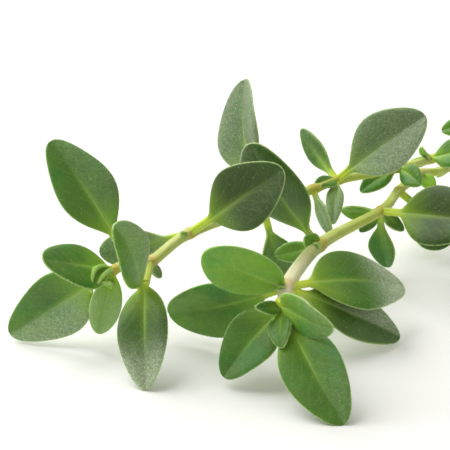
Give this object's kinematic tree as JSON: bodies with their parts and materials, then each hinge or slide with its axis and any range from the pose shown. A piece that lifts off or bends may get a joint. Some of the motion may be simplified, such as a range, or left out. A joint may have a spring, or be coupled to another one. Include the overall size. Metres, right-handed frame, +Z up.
{
  "type": "thyme bundle",
  "caption": "Loose bundle of cut fresh thyme lying down: thin square stems with pairs of small oval leaves and clusters of young ones, for cooking or as a garnish.",
  "frame": {"origin": "middle of the footprint's bounding rectangle, on the surface that carries the bundle", "axes": "+X from the leafy tips to the cut stem ends, +Z up out of the surface, +Y to the left of the stems seen from their tips' side"},
  "size_m": [0.0824, 0.0378, 0.0175],
  "materials": {
    "leaf": "fresh leaf with a soft grey-green sheen",
    "stem": "young stem, yellow-green to pinkish tan with fine short hairs"
  },
  "bodies": {
    "root": {"left_sprig": "leaf", "front_sprig": "leaf", "side_sprig": "leaf"}
  },
  "joints": []
}
